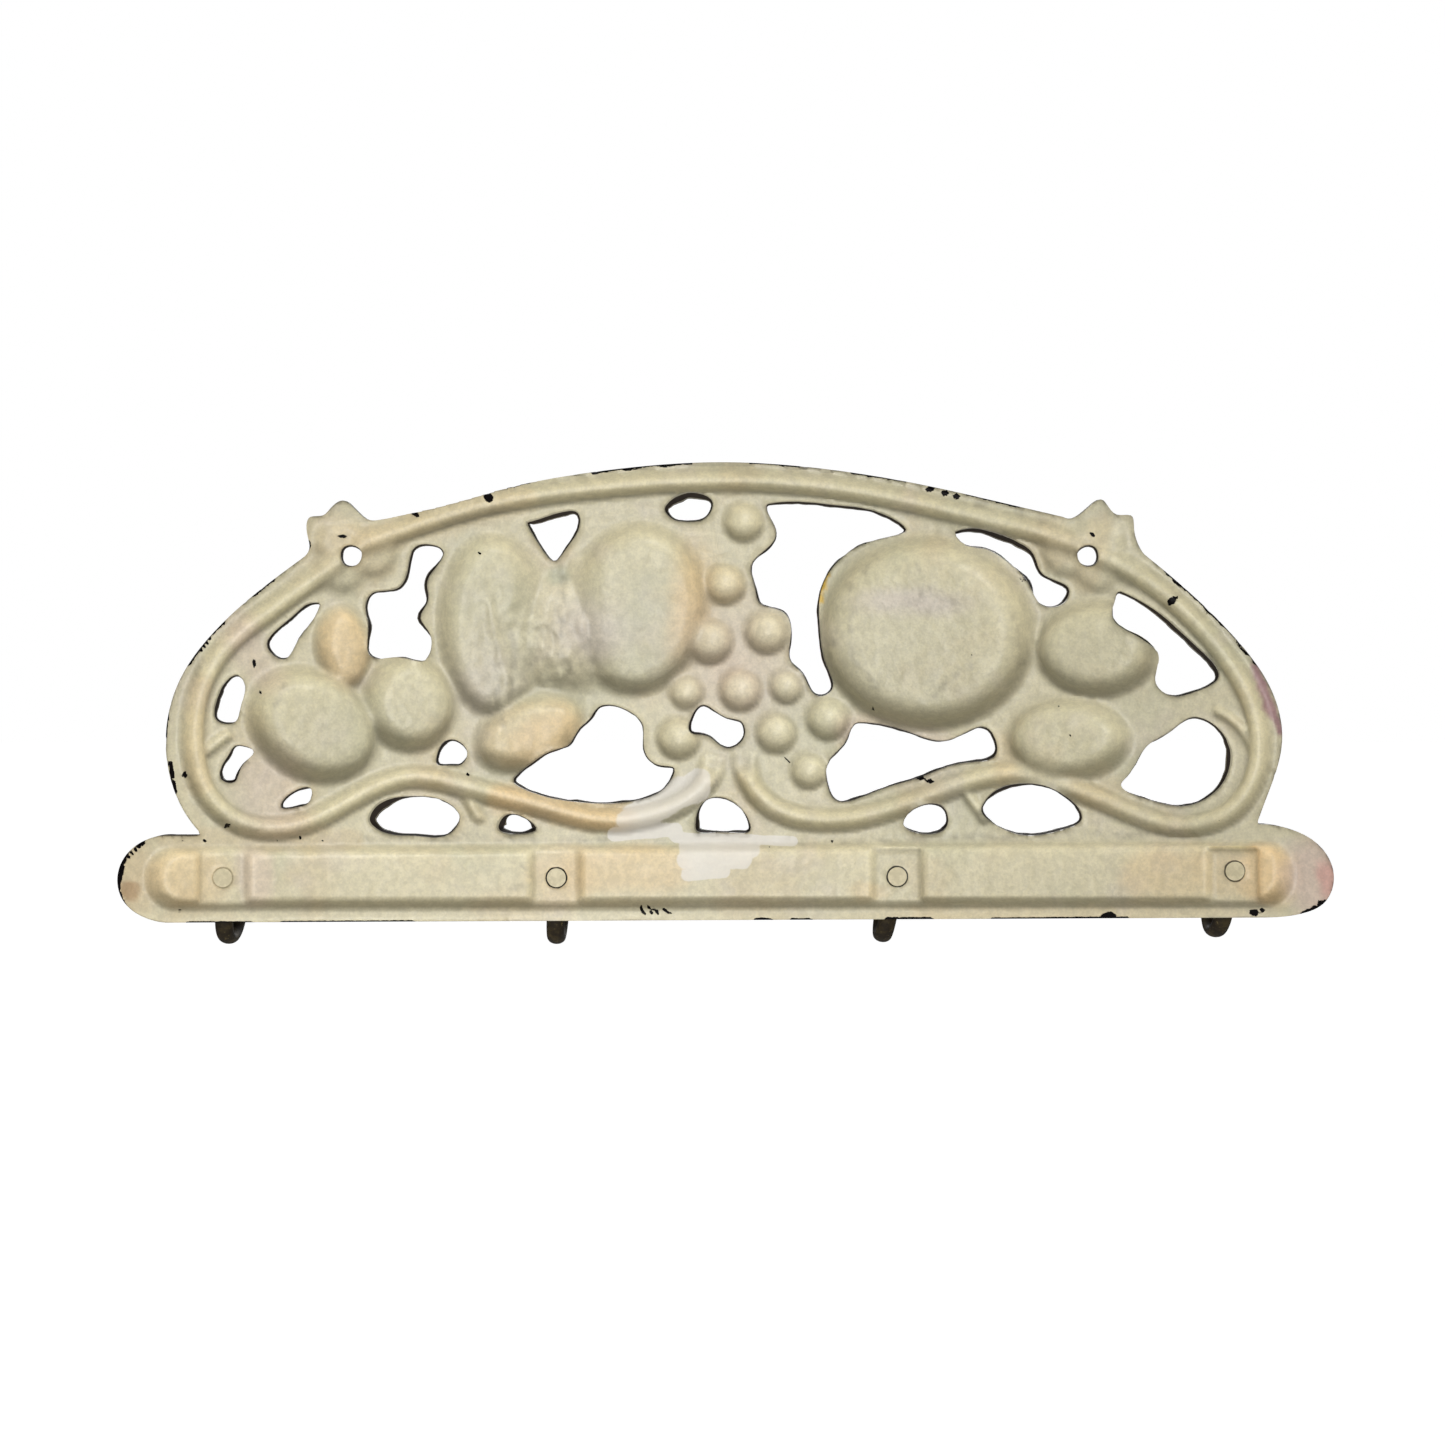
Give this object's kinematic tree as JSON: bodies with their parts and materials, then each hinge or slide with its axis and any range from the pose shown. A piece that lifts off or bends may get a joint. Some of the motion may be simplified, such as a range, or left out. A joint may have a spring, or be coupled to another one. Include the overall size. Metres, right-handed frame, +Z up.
{
  "type": "wall hook rack",
  "caption": "Cast-iron wall rack with pierced fruit and vine relief, hollow at the back, and small J hooks riveted to a bar so that they swivel.",
  "frame": {"origin": "on the wall plane, on the casting's flat back, midway between the two screw holes", "axes": "+X along the bar (to the left when the hollow back is looked at), +Y into the wall, +Z up"},
  "size_m": [0.3337, 0.0287, 0.1339],
  "materials": {
    "painted_casting": "brushed cream enamel over black-brown primer, chipped at the edges",
    "dark_iron": "worn black-brown paint",
    "rivet_steel": "peened tail painted over with the cream enamel, dark head"
  },
  "bodies": {
    "rack": {"casting": "painted_casting"},
    "hook_arm_1": {"hook_1": "dark_iron", "rivet_1": "rivet_steel"},
    "hook_arm_2": {"hook_2": "dark_iron", "rivet_2": "rivet_steel"},
    "hook_arm_3": {"hook_3": "dark_iron", "rivet_3": "rivet_steel"},
    "hook_arm_4": {"hook_4": "dark_iron", "rivet_4": "rivet_steel"}
  },
  "joints": [
    {"name": "hook_1_swivel", "type": "hinge", "parent": "rack", "child": "hook_arm_1", "pos_m": [0.1367, -0.006, -0.0886], "axis": [0, -1, 0], "range_deg": [-20.5, 9.5]},
    {"name": "hook_2_swivel", "type": "hinge", "parent": "rack", "child": "hook_arm_2", "pos_m": [0.0449, -0.006, -0.0886], "axis": [0, -1, 0], "range_deg": [-18.5, 11.5]},
    {"name": "hook_3_swivel", "type": "hinge", "parent": "rack", "child": "hook_arm_3", "pos_m": [-0.0489, -0.006, -0.0883], "axis": [0, -1, 0], "range_deg": [-25, 5]},
    {"name": "hook_4_swivel", "type": "hinge", "parent": "rack", "child": "hook_arm_4", "pos_m": [-0.1418, -0.006, -0.0868], "axis": [0, -1, 0], "range_deg": [-22, 8]}
  ]
}
